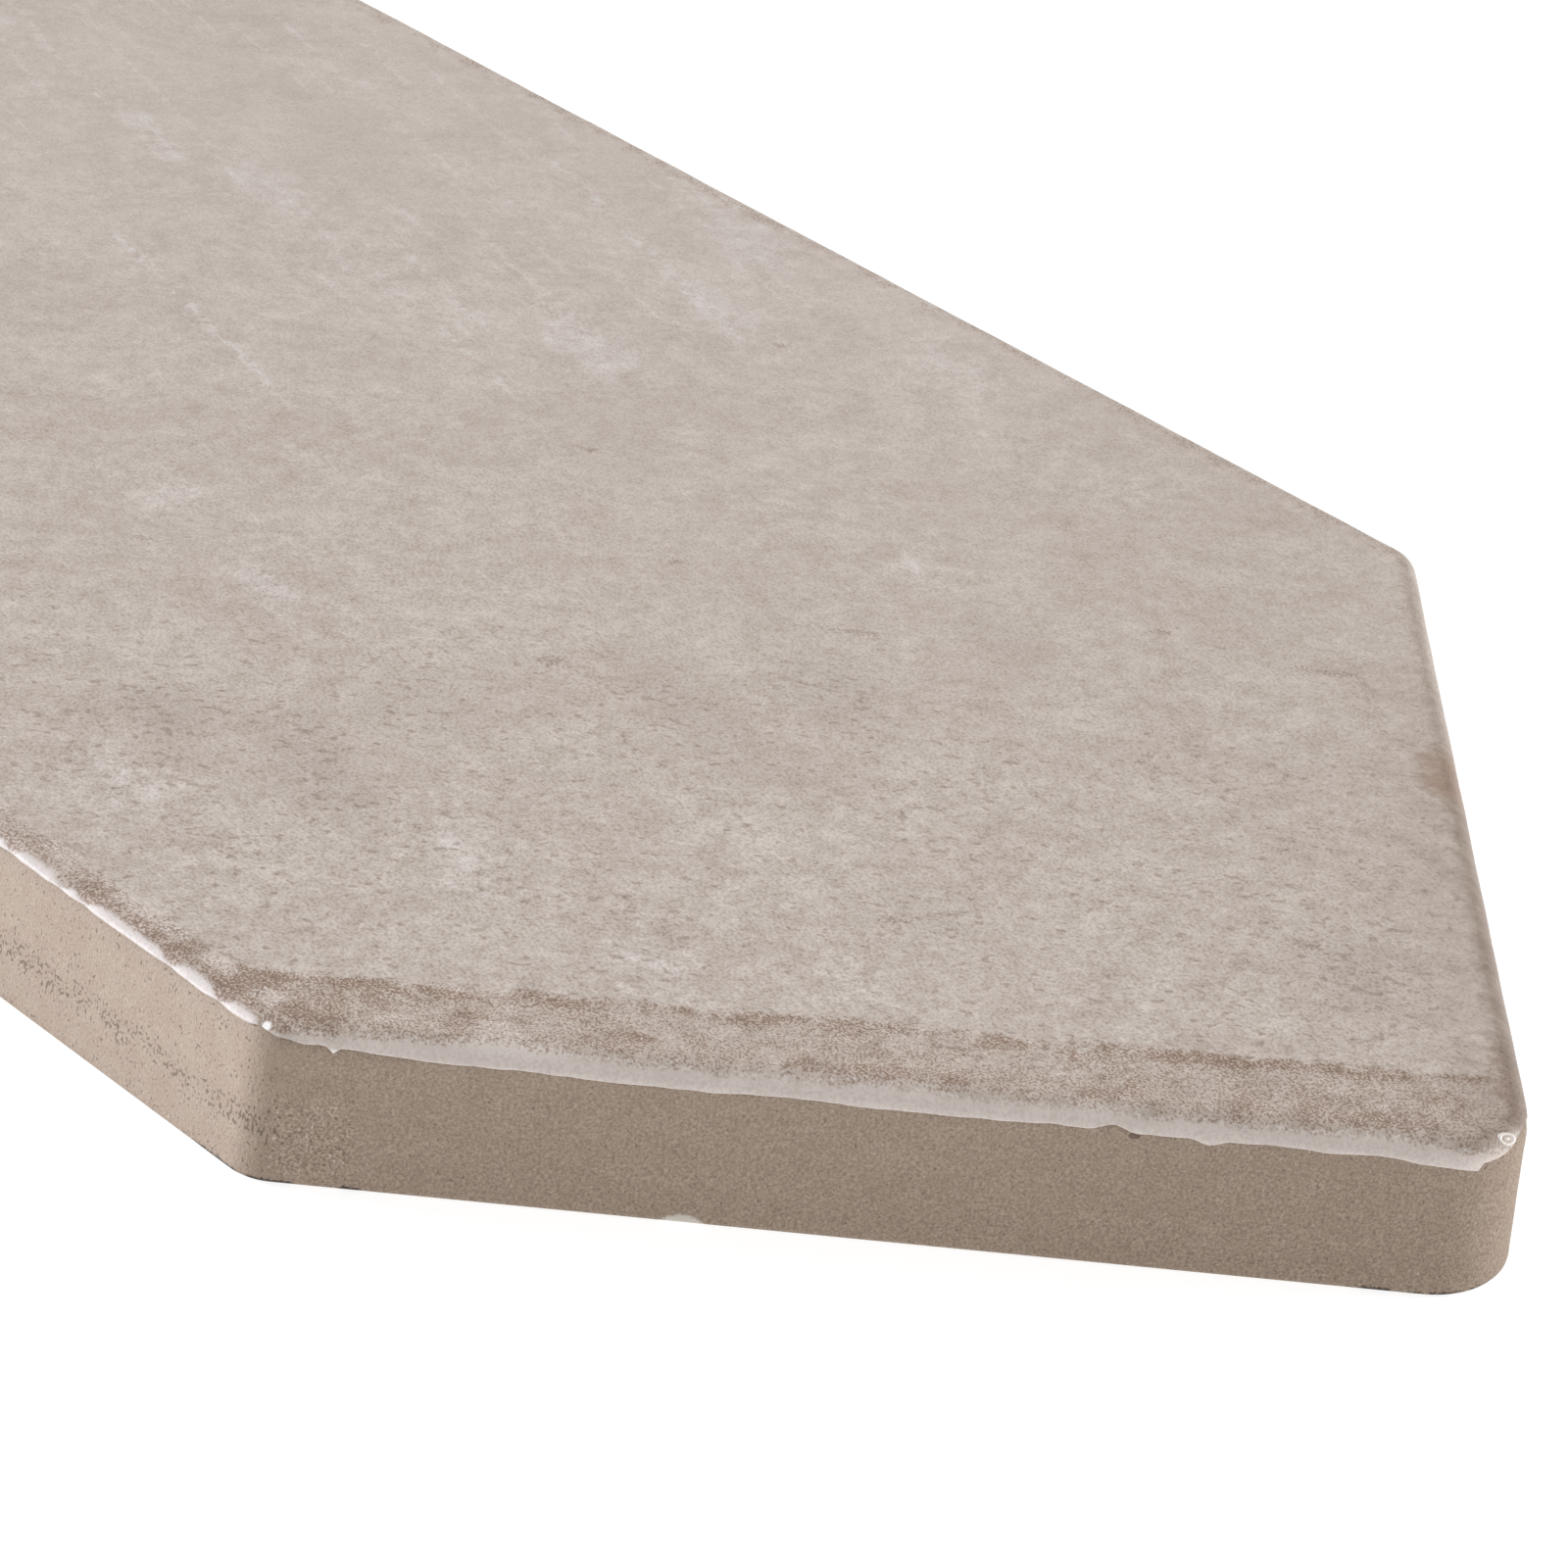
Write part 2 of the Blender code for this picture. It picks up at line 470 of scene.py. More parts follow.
def glaze_ring_levels(station):
    """The section of the glaze at a station, as pairs of inset and height, from under the hem."""
    hem, build = station.hem, station.build
    points = [(clay_inset(hem) + 0.30 * mm, hem + 0.10 * mm), (clay_inset(hem) + 0.04 * mm, hem)]
    for share, level in ((0.55, 0.10), (0.88, 0.40), (1.0, 1.0)):
        height = hem + build * level
        points.append((clay_inset(height) - build * share, height))
    swell = 0.03 * mm * wander(station.foot, 2.2, 21.5)
    start = math.asin(max(-0.95, min(0.97, (hem + build - arris_level) / face_arris)))
    steps = 8
    for step in range(1, steps + 1):
        angle = start + (math.pi / 2 - start) * step / steps
        proud = build * max(0.0, math.cos(angle)) ** 0.5 + swell * math.sin(2 * angle) ** 2
        height = arris_level + face_arris * math.sin(angle)
        points.append((clay_inset(height) - proud, min(height, tile_height)))
    return points


print(f"arris centre {arris_inset / mm:.2f} mm in, {arris_level / mm:.2f} mm up")

# %% [markdown]
# Rings of points are joined into bands of four-sided faces. The same helper serves the glaze and
# the clay. A plain block could be bevelled instead, but rings that follow the stations keep the
# outline exact at every height and let the hem wander.

# %% Helpers that join rings
def add_ring(mesh, levels):
    """One vertex for each station, at that station's inset and height."""
    return [mesh.verts.new(s.at(inset, height)) for s, (inset, height) in zip(stations, levels)]


def join_rings(mesh, shade_towards_bed, upper):
    """A smooth band of faces between two rings."""
    count = len(shade_towards_bed)
    for index in range(count):
        beside = (index + 1) % count
        mesh.faces.new((shade_towards_bed[index], shade_towards_bed[beside], upper[beside], upper[index])).smooth = True


def finish_piece(name, mesh, material):
    """Turns a bmesh into a smooth object in the scene."""
    data = bpy.data.meshes.new(name)
    bmesh.ops.recalc_face_normals(mesh, faces=mesh.faces)
    mesh.to_mesh(data)
    mesh.free()
    data.materials.append(material)
    piece = bpy.data.objects.new(name, data)
    bpy.context.scene.collection.objects.link(piece)
    data.calc_loop_triangles()
    print(name, len(data.vertices), "points,", len(data.loop_triangles), "triangles")
    return piece


print("one ring has", len(stations), "points")

# %% [markdown]
# The print has pale patches where the stone looks worn and grey ones where dirt seems to have
# settled, all drawn out along one slanting direction. Each could be a mask of shader nodes, but
# so many are slow to render, so they are brushed on the mesh: every point of the face keeps a
# number, above 0 in a pale patch and below 0 in a grey one, and the shader adds what is finer.

# %% Patches of the print
streak_lean = math.atan(0.27)
pale_patches = [
    # (x, y, half length and half width, all in mm, strength)
    (70.6, 33.2, 5.5, 2.2, 0.8),
    (86.3, 31.5, 4.2, 2.6, 0.6),
    (76.3, 26.0, 5.5, 2.2, 0.7),
    (75.6, 17.3, 4.8, 2.6, 0.9),
    (51.9, 15.1, 4.2, 2.0, 0.7),
    (70.0, 14.1, 3.2, 2.0, 0.5),
    (63.1, 12.3, 5.5, 2.6, 0.5),
    (60.0, 26.0, 4.5, 2.0, 0.4),
    (85.0, 14.4, 1.3, 0.9, 1.0),
    (102.5, 14.1, 2.4, 1.2, 0.9),
    (76.6, -11.5, 1.9, 1.6, 0.8),
    (85.6, -13.4, 2.6, 1.1, 1.0),
    (77.5, -2.8, 2.4, 3.0, 0.35),
    (95.6, -30.3, 4.2, 2.5, 0.6),
    (108.8, -21.5, 4.2, 2.1, 0.7),
    (120.0, -20.9, 3.2, 2.2, 0.7),
    (126.3, -14.6, 3.4, 1.6, 0.6),
    (113.1, -11.5, 3.2, 2.1, 0.4),
    (88.1, 1.6, 2.6, 1.6, 0.4),
    (66.9, -6.5, 3.2, 1.6, 0.4),
    (101.3, 28.5, 2.2, 1.2, 0.5),
    (95.6, 17.9, 1.4, 0.9, 0.6),
    (133.0, -6.0, 3.0, 1.8, 0.4),
]
grey_patches = [
    # (x, y, half length and half width, all in mm, strength)
    (108.8, 12.3, 4.5, 2.2, 0.6),
    (100.0, 5.4, 4.5, 3.0, 0.5),
    (107.5, 2.3, 4.5, 2.6, 0.8),
    (105.6, -4.5, 6.5, 3.0, 0.7),
    (98.1, -14.6, 4.5, 2.8, 0.6),
    (100.0, -22.1, 5.5, 2.6, 0.9),
    (92.5, -24.6, 3.5, 2.0, 1.0),
    (85.0, 11.0, 4.5, 1.8, 0.6),
    (80.0, 22.0, 3.4, 1.6, 0.6),
    (137.5, 5.0, 4.2, 3.0, 0.9),
    (48.1, 23.5, 6.0, 3.2, 0.7),
    (123.8, -8.0, 3.0, 3.0, 0.6),
    (115.0, 24.1, 3.6, 2.4, 0.4),
    (53.0, -7.0, 5.0, 3.0, 0.4),
]
far_patches = 46


def far_patch_list(sign):
    """More patches, with the same look, for the half of the tile that the photo leaves out."""
    made = []
    for number in range(far_patches):
        x = 35 - 185 * ((number * 0.618 + 0.13 * sign) % 1)
        y = 35 - 70 * ((number * 0.755 + 0.37 * sign) % 1)
        half_length = 2.2 + 3.4 * ((number * 0.37) % 1)
        half_width = 1.1 + 1.7 * ((number * 0.53) % 1)
        made.append((x, y, half_length, half_width, 0.35 + 0.5 * ((number * 0.29) % 1)))
    return made


pale_patches += far_patch_list(1)
grey_patches += far_patch_list(2)
lean_cosine, lean_sine = math.cos(streak_lean), math.sin(streak_lean)


def strongest_patch(patches, x, y):
    """How strongly the patches cover a place, from 0 to 1, with unsteady outlines."""
    unrest = 0.5 * noise.noise(Vector((x, y, 0.05)) / (2.2 * mm))
    unrest += 0.35 * noise.noise(Vector((x, y, 0.09)) / (0.9 * mm))
    most = 0.0
    for patch_x, patch_y, half_length, half_width, strength in patches:
        across, up = x - patch_x * mm, y - patch_y * mm
        if abs(across) < 12 * mm and abs(up) < 8 * mm:
            along = (across * lean_cosine - up * lean_sine) / (half_length * mm)
            aside = (across * lean_sine + up * lean_cosine) / (half_width * mm)
            most = max(most, strength * hill(math.hypot(along, aside) + unrest, 1.7))
    return most


def weathering(x, y):
    return strongest_patch(pale_patches, x, y) - strongest_patch(grey_patches, x, y)


print(len(pale_patches), "pale patches and", len(grey_patches), "grey ones")

# %% [markdown]
# The face isn't a mirror-flat plane: it dips by a few hundredths of a millimetre, more so just
# inside the rolled edge. The points inside the last ring lie on a grid of triangles, and a
# Delaunay fill joins them to the ring, which has many more points than the middle needs.

# %% The glaze coat
face_rings = [0.25 * mm, 0.55 * mm, 0.9 * mm]
face_grid = 1.0 * mm


def edge_distance(x, y):
    """How far a place on the face lies inside the outline of the hexagon."""
    from_side = tile_width / 2 - abs(y)
    from_mitre = (tip_x - abs(x) - abs(y)) / math.sqrt(2)
    from_tip = tile_length / 2 - abs(x)
    return min(from_side, from_mitre, from_tip)


def face_height(x, y):
    """Height of the glazed face, which waves a little below the top of the tile."""
    wave = noise.noise(Vector((x / (14 * mm), y / (14 * mm), 3.3)))
    ripple = noise.noise(Vector((x / (4 * mm), y / (4 * mm), 7.7)))
    dip = 0.016 * mm * (1 + wave) + 0.005 * mm * (1 + ripple)
    flat_part = (edge_distance(x, y) - arris_inset) / (2.5 * mm)
    return tile_height - dip * max(0.0, min(1.0, flat_part))


def fill_face(mesh, ring):
    """Fills the inside of the last ring of the face with small triangles."""
    last_inset = arris_inset + face_rings[-1]
    points = [vertex.co.xy for vertex in ring]
    row_step = face_grid * math.sqrt(3) / 2
    rows = int(tile_width / 2 / row_step)
    columns = int(tile_length / 2 / face_grid)
    for row in range(-rows, rows + 1):
        for column in range(-columns, columns + 1):
            x = (column + (row % 2) / 2) * face_grid
            y = row * row_step
            if edge_distance(x, y) > last_inset + 0.6 * face_grid:
                points.append(Vector((x, y)))
    edges = [(index, (index + 1) % len(ring)) for index in range(len(ring))]
    placed, _, triangles, sources, _, _ = delaunay_2d_cdt(points, edges, [], 1, 1e-7)
    vertices = []
    for spot, source in zip(placed, sources):
        if source and source[0] < len(ring):
            vertices.append(ring[source[0]])
        else:
            vertices.append(mesh.verts.new((spot.x, spot.y, face_height(spot.x, spot.y))))
    for triangle in triangles:
        mesh.faces.new([vertices[index] for index in triangle])


def build_glaze(material):
    mesh = bmesh.new()
    edge_layer = mesh.verts.layers.float.new("print_edge")
    weather_layer = mesh.verts.layers.float.new("weathering")
    sections = [glaze_ring_levels(station) for station in stations]
    rings = [add_ring(mesh, levels) for levels in zip(*sections)]
    for extra in face_rings:
        levels = []
        for station in stations:
            spot = station.at(arris_inset + extra, 0)
            levels.append((arris_inset + extra, face_height(spot.x, spot.y)))
        rings.append(add_ring(mesh, levels))
    for ring in rings:
        for vertex, station in zip(ring, stations):
            vertex[edge_layer] = station.print_edge
    under_height = tile_height - glaze_depth - 0.05 * mm
    under = add_ring(mesh, [(arris_inset + 0.2 * mm, under_height)] * len(stations))
    join_rings(mesh, under, rings[0])
    for shade_towards_bed, upper in zip(rings, rings[1:]):
        join_rings(mesh, shade_towards_bed, upper)
    fill_face(mesh, rings[-1])
    mesh.faces.new(list(reversed(under)))
    for vertex in mesh.verts:
        vertex[weather_layer] = weathering(vertex.co.x, vertex.co.y)
    for face in mesh.faces:
        face.smooth = len(face.verts) < 5
    return finish_piece("glaze_coat", mesh, material)


print("the face dips to", round(face_height(0.0, 0.0) / mm, 3), "mm at its middle")

# %% [markdown]
# The bed, the side that lies on the floor, has the waffle of shallow square pockets that adhesive
# grips. Each pocket has softened rims and a slightly smaller floor, because the punch that
# pressed it was tapered. A boolean could cut them, but filling round their mouths is cleaner.

# %% The waffle of the bed
pocket_pitch = 11 * mm
pocket_rib = 2.5 * mm
pocket_depth = 0.5 * mm
pocket_corner = 0.7 * mm
bed_margin = 5.5 * mm
least_pocket_share = 0.3
pocket_levels = [(1.025, 0.0), (1.0, 0.05 * mm), (0.985, 0.13 * mm), (0.94, 0.40 * mm)]
pocket_levels += [(0.925, 0.47 * mm), (0.90, pocket_depth)]


def clipped(points, foot, inward):
    """The part of a convex outline that lies on the inward side of a line."""
    kept = []
    for index, point in enumerate(points):
        after = points[(index + 1) % len(points)]
        reach, next_reach = (point - foot).dot(inward), (after - foot).dot(inward)
        if reach >= 0:
            kept.append(point)
        if reach * next_reach < 0:
            kept.append(point.lerp(after, reach / (reach - next_reach)))
    return kept


def outline_area(points):
    return sum(a.cross(b) for a, b in zip(points, points[1:] + points[:1])) / 2


def softened(points, radius):
    """The same outline with each corner turned into a short curve."""
    soft = []
    for index, corner in enumerate(points):
        before, after = points[index - 1], points[(index + 1) % len(points)]
        back = corner.lerp(before, min(0.42, radius / (before - corner).length))
        on = corner.lerp(after, min(0.42, radius / (after - corner).length))
        for share in (0, 0.25, 0.5, 0.75, 1):
            soft.append(back.lerp(corner, share).lerp(corner.lerp(on, share), share))
    return soft


def pocket_mouths():
    """Square pockets about the middle of the bed, cut off where its plain margin starts."""
    half = (pocket_pitch - pocket_rib) / 2
    square = [Vector((x, y)) * half for x, y in ((-1, -1), (1, -1), (1, 1), (-1, 1))]
    columns = math.ceil(tile_length / 2 / pocket_pitch)
    rows = math.ceil(tile_width / 2 / pocket_pitch)
    mouths = []
    for column in range(-columns, columns):
        for row in range(-rows, rows):
            middle = Vector((column + 0.5, row + 0.5)) * pocket_pitch
            mouth = [middle + corner for corner in square]
            for index, corner in enumerate(corners):
                along = (corners[(index + 1) % len(corners)] - corner).normalized()
                inward = Vector((-along.y, along.x))
                mouth = clipped(mouth, corner + inward * bed_margin, inward)
            whole = (2 * half) ** 2
            if len(mouth) > 2 and outline_area(mouth) > least_pocket_share * whole:
                mouths.append(softened(mouth, pocket_corner))
    return mouths


def press_waffle(mesh, edge_ring):
    """Fills the bed round the pockets and builds each pocket's rim, wall and floor."""
    edges = []
    for index in range(len(edge_ring)):
        pair = (edge_ring[index], edge_ring[(index + 1) % len(edge_ring)])
        edges.append(mesh.edges.get(pair) or mesh.edges.new(pair))
    for mouth in pocket_mouths():
        centre = sum(mouth, Vector((0, 0))) / len(mouth)
        rings = []
        for share, height in pocket_levels:
            spots = [centre.lerp(point, share) for point in mouth]
            rings.append([mesh.verts.new((spot.x, spot.y, height)) for spot in spots])
        for upper, shade_towards_bed in zip(rings, rings[1:]):
            join_rings(mesh, upper, shade_towards_bed)
        mesh.faces.new(rings[-1]).smooth = False
        for index in range(len(rings[0])):
            edges.append(mesh.edges.get((rings[0][index - 1], rings[0][index])))
    filled = bmesh.ops.triangle_fill(mesh, use_beauty=True, use_dissolve=False, edges=edges)
    for item in filled["geom"]:
        if isinstance(item, bmesh.types.BMFace):
            item.smooth = False


print(len(pocket_mouths()), "pockets fit on the bed")

# %% [markdown]
# The clay body is stacked from rings in the same way, from the bed up to a top that lies hidden
# under the glaze. Its sides lean in a little so that the tile leaves its die. A real side is a
# few hundredths of a millimetre uneven, so each level is pushed in a little by soft noise.

# %% The clay body
side_levels = [1.0, 1.7, 2.4, 3.1, 3.8, 4.5, 5.2, 5.8]
clay_unevenness = 0.03 * mm


def clay_section(station):
    """The section of the clay at a station, as pairs of inset and height, from the bed up."""
    points = []
    for step in range(5):
        angle = -math.pi / 2 + (math.pi / 2 + side_draft) * step / 4
        points.append((bed_arris * (1 - math.cos(angle)), bed_arris * (1 + math.sin(angle))))
    for level in side_levels:
        height = level * mm
        spot = Vector((station.foot.x, station.foot.y, height))
        uneven = 0.5 + 0.5 * noise.noise(spot / (1.8 * mm))
        points.append((clay_inset(height) + clay_unevenness * uneven, height))
    top = station.hem + 0.06 * mm
    for step in range(1, 6):
        height = side_levels[-1] * mm + (top - side_levels[-1] * mm) * step / 5
        points.append((clay_inset(height), height))
    points.append((arris_inset, tile_height - glaze_depth))
    return points


def build_clay(material):
    mesh = bmesh.new()
    sections = [clay_section(station) for station in stations]
    rings = [add_ring(mesh, levels) for levels in zip(*sections)]
    for shade_towards_bed, upper in zip(rings, rings[1:]):
        join_rings(mesh, shade_towards_bed, upper)
    mesh.faces.new(rings[-1]).smooth = False
    press_waffle(mesh, rings[0])
    return finish_piece("fired_clay", mesh, material)


print("the clay has", len(clay_section(stations[0])), "rings")

# %% [markdown]
# The print also has small marks: thin pale scratches, dark specks, and blotches where the brown
# stain along the left pointed side gathers. Noise could scatter them, but the eye knows such
# marks by where they are, so those that the photo shows are listed.

# %% Places of the small marks
scratches = [
    # (x and y of one end, x and y of the other, half width, all in mm, strength)
    (52.5, 32.6, 80.0, 23.8, 0.40, 0.8),
    (49.4, 5.1, 74.1, -0.9, 0.30, 0.9),
    (69.0, 11.9, 77.5, 9.8, 0.25, 0.8),
    (46.3, 27.3, 58.8, 24.5, 0.30, 0.4),
    (40.0, 15.4, 47.5, 12.9, 0.45, 0.7),
    (56.0, 17.5, 66.0, 15.0, 0.30, 0.5),
    (-70.0, 25.0, -42.0, 17.0, 0.35, 0.7),
    (-110.0, 6.0, -85.0, -1.0, 0.35, 0.7),
    (-30.0, -10.0, 5.0, -19.0, 0.35, 0.6),
]
specks = [
    # (x, y, half length and half width, all in mm)
    (119.4, 23.5, 1.30, 0.22),
    (98.4, -6.8, 0.45, 0.35),
    (94.7, 4.8, 0.50, 0.22),
    (104.4, 7.3, 0.80, 0.20),
    (126.2, 2.9, 0.22, 0.22),
    (138.9, 1.3, 0.24, 0.20),
    (112.5, 19.8, 0.35, 0.20),
    (135.0, 4.1, 0.60, 0.28),
    (80.6, 25.7, 0.35, 0.22),
    (83.8, 9.1, 0.25, 0.18),
    (120.0, 10.4, 0.28, 0.18),
    (123.1, -9.6, 0.45, 0.22),
    (79.1, -15.3, 0.28, 0.20),
]
stain_blotches = [
    # (run along the left pointed side, distance from it, half length, half width, strength)
    (-0.9, 3.3, 1.3, 1.0, 0.9),
    (2.6, 3.1, 2.8, 0.80, 0.45),
    (0.9, 4.3, 1.7, 0.35, 0.5),
    (2.2, 1.8, 1.5, 0.60, 0.5),
    (4.8, 4.1, 1.6, 0.40, 0.45),
    (8.5, 2.6, 0.9, 0.60, 0.35),
    (13.0, 1.5, 1.6, 0.40, 0.3),
    (15.6, 2.3, 0.5, 0.35, 1.1),
    (20.2, 4.5, 1.1, 0.50, 0.6),
    (25.5, 1.6, 3.6, 0.60, 0.5),
    (24.4, 4.3, 1.3, 0.50, 0.4),
    (24.5, 5.1, 4.0, 0.50, 0.35),
    (29.5, 4.3, 0.8, 0.40, 0.35),
    (34.3, 1.5, 1.0, 0.50, 0.4),
    (39.2, 5.0, 2.4, 0.45, 0.5),
    (42.4, 5.1, 1.8, 0.40, 0.4),
    (43.0, 1.4, 3.5, 0.45, 0.35),
    (46.8, 1.8, 2.2, 0.70, 0.4),
    (48.2, 3.7, 1.5, 0.60, 0.25),
]
print(len(scratches), "scratches,", len(specks), "specks,", len(stain_blotches), "blotches")

# %% [markdown]
# The paints of the print are few: two close greys for the ground, a pale and a dark grey for the
# patches, the pale one also used for a painted sheen, browns for the stain, a grey for the smear
# that also paints shade on the rim of the right point, and whites for the bare lip of the glaze.
# They could be given as light, but the steps from 0 to 255 are what a picture shows, and paint
# turns them into light.

# %% Paints of the print
ground_light = paint(188, 176, 165)
ground_dark = paint(184, 171, 160)
# the pale of worn stone, also used for a painted sheen on the far part of the face
worn_and_sheen_pale = paint(206, 198, 193)
settled_grey = paint(158, 145, 135)
fleck_brown = paint(138, 120, 107)
stain_brown = paint(118, 90, 70)
smear_brown = paint(160, 131, 109)
# the smear's grey, which also paints shade on the rolled rim of the right point
smear_and_shade_grey = paint(146, 128, 115)
smear_red = paint(154, 130, 113)
lip_white = paint(228, 217, 210)
lip_grey = paint(212, 201, 193)
nub_white = paint(250, 246, 242)
warm_dark = (0.88, 1.01, 1.12)
nub_places = [
    # (run, height) of the two small white nubs by the near left corner, in mm
    (3.1, 6.60),
    (0.0, 7.22),
]
print("shading changes blue more than red, by", round(warm_dark[2] - warm_dark[0], 2))

# %% [markdown]
# An oval mark starts from the distance to its middle, measured in its own half length and half
# width. A scratch is a thin strip round a straight line, broken up by the mottle as if a brush
# had skipped. They could be painted on a picture, but sums stay sharp at any distance.

# %% Ovals and scratches
def oval_distance(recipe, where, middle, half_length, half_width):
    """Distance from an oval's middle, 1 on its rim. Both half sizes are in mm."""
    offset = recipe.vector("SUBTRACT", where, (middle.x, middle.y, 0.0))
    share = (1 / half_length, 1 / half_width, 0.0)
    scaled = recipe.vector("MULTIPLY", offset, share)
    return recipe.vector("LENGTH", scaled, output="Value")


def scratch_mask(glaze, slanted, unrest):
    """Thin pale scratches, straight and soft, with the named ones on top of many faint ones."""
    drawn_out = glaze.vector("MULTIPLY", slanted, (0.05, 1.0, 1.0))
    faint = glaze.ramp(glaze.cloud(drawn_out, 0.55, 1.0), 0.55, 0.78)
    along, across, _ = glaze.parts(slanted)
    zone = glaze.ramp(along, 82, 66) * glaze.ramp(across, 8, 20)
    mask = faint * zone * 0.55
    turn = Matrix.Rotation(streak_lean, 2)
    for x0, y0, x1, y1, half_width, strength in scratches:
        start, end = turn @ Vector((x0, y0)), turn @ Vector((x1, y1))
        middle = (start + end) / 2
        half_length = (end - start).length / 2
        slope = (end.y - start.y) / (end.x - start.x)
        offset = across - middle.y - (along - middle.x) * slope
        line = glaze.ramp(abs(offset), half_width * 1.8, 0.0)
        ends = glaze.ramp(abs(along - middle.x), half_length, 0.6 * half_length)
        mask = mask.floor_at(line * ends * strength)
    return mask * glaze.ramp(unrest, -0.12, 0.08)


print("scratches lean by", round(math.degrees(streak_lean), 1), "degrees")

# %% [markdown]
# The stain is a band of fine brown dots inside every edge, densest along two lines of the near
# left pointed side, with a grey smear and one reddish patch along the right one. The grey there
# is partly painted shade, darkest on the rolled rim. Ramps of the distance from an edge say how
# densely the dots stand. The two pointed sides are square to each other, so the distance from
# one also tells how far along the other a place is.

# %% Where the stain gathers
side_angle = math.radians(-45)
side_turn = Matrix.Rotation(side_angle, 2)
side_start = side_turn @ corners[0] / mm
tip, shoulder, half_tile = tip_x / mm, shoulder_x / mm, tile_width / 2 / mm


def near_point(x, y):
    """Run along the left pointed side, and the distances from it and from the right one."""
    run = (x - shoulder + y + half_tile) / math.sqrt(2)
    return run, (tip - x + y) / math.sqrt(2), (tip - x - y) / math.sqrt(2)


def stain_density(glaze, x, y, by_side, unrest, clusters):
    """How densely the brown dots stand near the edges, and how grey the smears and painted shade
    there are.
    """
    run, from_left, from_right = near_point(x, y)
    wavy = from_left - run * 0.019 + unrest * 1.8
    inside = glaze.ramp(wavy, 5.0, 4.5)
    by_lip = glaze.ramp(abs(wavy - 1.5), 1.4, 0.2) * 0.18
    inner_line = glaze.ramp(abs(wavy - 4.2), 0.65, 0.1) * 0.50
    towards_ends = glaze.ramp(run, 28, 40) * 0.10
    towards_ends = towards_ends + glaze.ramp(run, 20, 8) * 0.18
    density = inside * (0.20 + 0.45 * clusters + towards_ends) + by_lip
    density = density + inner_line * (0.3 + 0.7 * clusters)
    for blotch_run, distance, half_length, half_width, strength in stain_blotches:
        middle = side_start + Vector((blotch_run, distance))
        reach = oval_distance(glaze, by_side, middle, half_length, half_width)
        density = density + glaze.ramp(reach + unrest * 2.0, 1.5, 0.2) * strength

    near = glaze.ramp(half_tile + y + unrest * 2.0, 2.6, 1.9)
    fresh = glaze.ramp(x, shoulder - 14, shoulder - 11)
    density = density.floor_at(near * (0.42 + 0.33 * fresh + 0.50 * clusters))
    from_far_point = (tip + x - abs(y)) / math.sqrt(2)
    far = glaze.ramp(from_far_point + unrest * 2.2, 5.0, 4.2)
    density = density.floor_at(far * (0.15 + 0.55 * clusters))
    back = glaze.ramp(half_tile - y + unrest * 1.5, 2.4, 1.6)
    density = density.floor_at(back * clusters * 0.6)

    by_tip = glaze.ramp(abs(from_left - 5.5), 4.5, 1.0)
    red_patch = glaze.ramp(abs(from_left - 30.8) + unrest * 3, 3.5, 1.2)
    before_corner = glaze.ramp(from_left, 36, 30)
    width = 2.0 + red_patch * 1.0 + by_tip * 0.3
    right = glaze.ramp(from_right + unrest * 1.6, width, width - 1.3)
    density = density.floor_at(right * (0.20 + red_patch * 0.15 + by_tip * 0.85))
    smear_and_shade = right * (0.10 + before_corner * 0.26 + red_patch * 0.22 + by_tip * 0.18)
    # painted shade: a grey strip on the rolled rim of the right pointed side
    smear_and_shade = smear_and_shade + glaze.ramp(from_right, 1.4, 0.5) * before_corner * 0.30
    dulled = glaze.ramp(from_right, 6.5, 1.5) * 0.24
    dulled = dulled * glaze.ramp(from_left, 45, 25)
    return density, smear_and_shade + dulled, (right * red_patch).floor_at(near)


print("each pointed side is", round(half_tile * math.sqrt(2), 1), "mm long")
